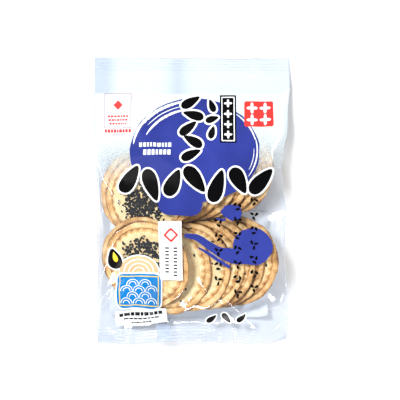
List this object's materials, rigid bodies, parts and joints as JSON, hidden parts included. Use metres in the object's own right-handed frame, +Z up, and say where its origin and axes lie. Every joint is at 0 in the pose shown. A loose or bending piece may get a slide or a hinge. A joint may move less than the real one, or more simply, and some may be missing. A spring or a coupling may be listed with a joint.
{
  "type": "sealed clear bag of round sesame crackers",
  "caption": "Clear film pillow bag with crimped ends, drawn over two leaning rows of round sesame crackers, lying flat with its printed side up.",
  "frame": {"origin": "centre of the bag's box on the surface it lies on", "axes": "+Z up out of the shown side, +Y along the bag towards its top seal, +X towards the shown side's right"},
  "size_m": [0.16, 0.233, 0.0414],
  "materials": {
    "film": "clear glossy polypropylene film",
    "cracker": "dry baked wheat dough, cream in the middle and browned at the rim",
    "sesame": "toasted black sesame seed",
    "ink": "opaque printing ink under film",
    "label": "white printed back panel"
  },
  "bodies": {
    "root": {"bag": "film"}
  },
  "joints": []
}
